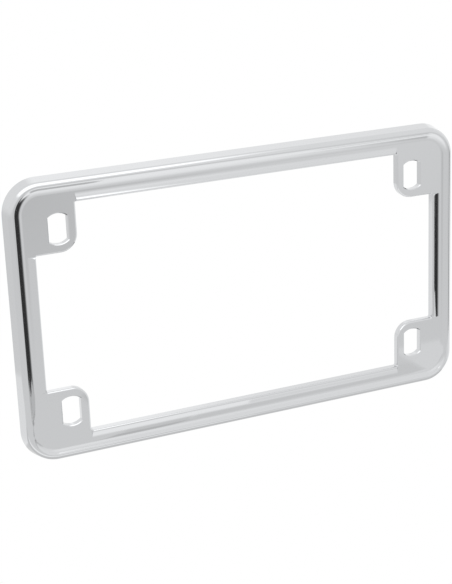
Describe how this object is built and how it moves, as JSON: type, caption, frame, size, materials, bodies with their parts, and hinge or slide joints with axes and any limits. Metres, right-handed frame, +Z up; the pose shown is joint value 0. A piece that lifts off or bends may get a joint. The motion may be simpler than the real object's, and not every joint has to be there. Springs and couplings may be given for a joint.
{
  "type": "number plate holder",
  "caption": "Chromed rectangular frame with rounded corners, a raised bead round its border and slotted corner tabs, which holds a small number plate at its back.",
  "frame": {"origin": "centre of the pattern of screw slots, in the plane of the plate's seat, which is the back face of the corner tabs", "axes": "+X to the right of someone who looks at the front, +Z up as fitted, +Y to the back, out of the recess that takes the plate; the chromed front faces -Y"},
  "size_m": [0.184, 0.006, 0.1078],
  "materials": {
    "chromed_casting": "polished chrome plating over a smooth casting"
  },
  "bodies": {
    "root": {"plate_frame": "chromed_casting"}
  },
  "joints": []
}
